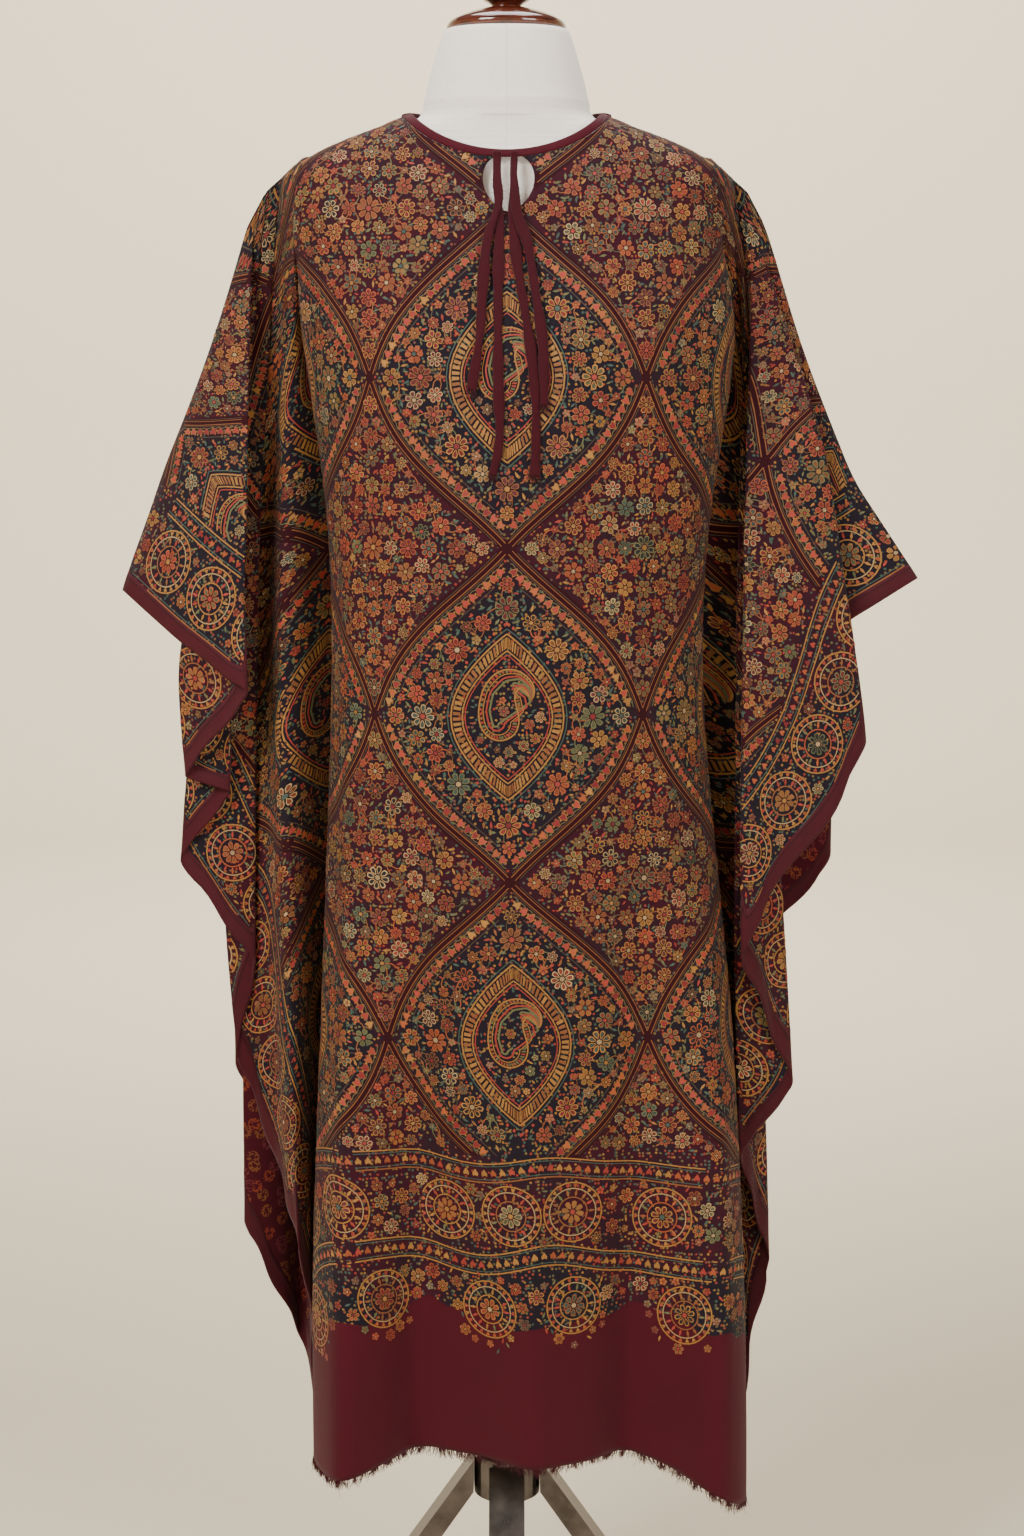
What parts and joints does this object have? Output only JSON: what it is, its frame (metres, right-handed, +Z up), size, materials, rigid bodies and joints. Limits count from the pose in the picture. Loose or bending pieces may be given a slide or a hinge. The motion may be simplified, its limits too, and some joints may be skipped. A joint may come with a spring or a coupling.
{
  "type": "embroidered butterfly kaftan on a limbless dress form",
  "caption": "Loose maroon butterfly kaftan, embroidered all over, with a keyhole neck, ties and a frayed hem, worn on a limbless linen dress form with a wooden cap and a legged stand.",
  "frame": {"origin": "on the floor, under the middle of the whole object", "axes": "+Z up, the front of the kaftan faces -Y, +X is the wearer's left and the viewer's right from the front"},
  "size_m": [0.7394, 0.41, 1.667],
  "materials": {
    "embroidered_cloth": "fine wool twill, embroidered all over",
    "maroon_cloth": "plain fine wool twill",
    "linen": "natural linen cover",
    "dark_wood": "glossy lacquer",
    "grey_steel": "smoky metallic, satin"
  },
  "bodies": {
    "root": {"front_panel": "embroidered_cloth", "back_panel": "embroidered_cloth", "front_edge_left": "maroon_cloth", "front_edge_right": "maroon_cloth", "back_edge_left": "maroon_cloth", "back_edge_right": "maroon_cloth", "neck_binding": "maroon_cloth", "tie_1": "maroon_cloth", "tie_2": "maroon_cloth", "tie_3": "maroon_cloth", "tie_4": "maroon_cloth", "front_fringe": "maroon_cloth", "back_fringe": "maroon_cloth", "dress_form": "linen", "neck_cap": "dark_wood", "neck_knob": "dark_wood", "hub": "grey_steel", "pole": "grey_steel", "leg_right": "grey_steel", "leg_back": "grey_steel", "leg_left": "grey_steel", "leg_front": "grey_steel"}
  },
  "joints": []
}
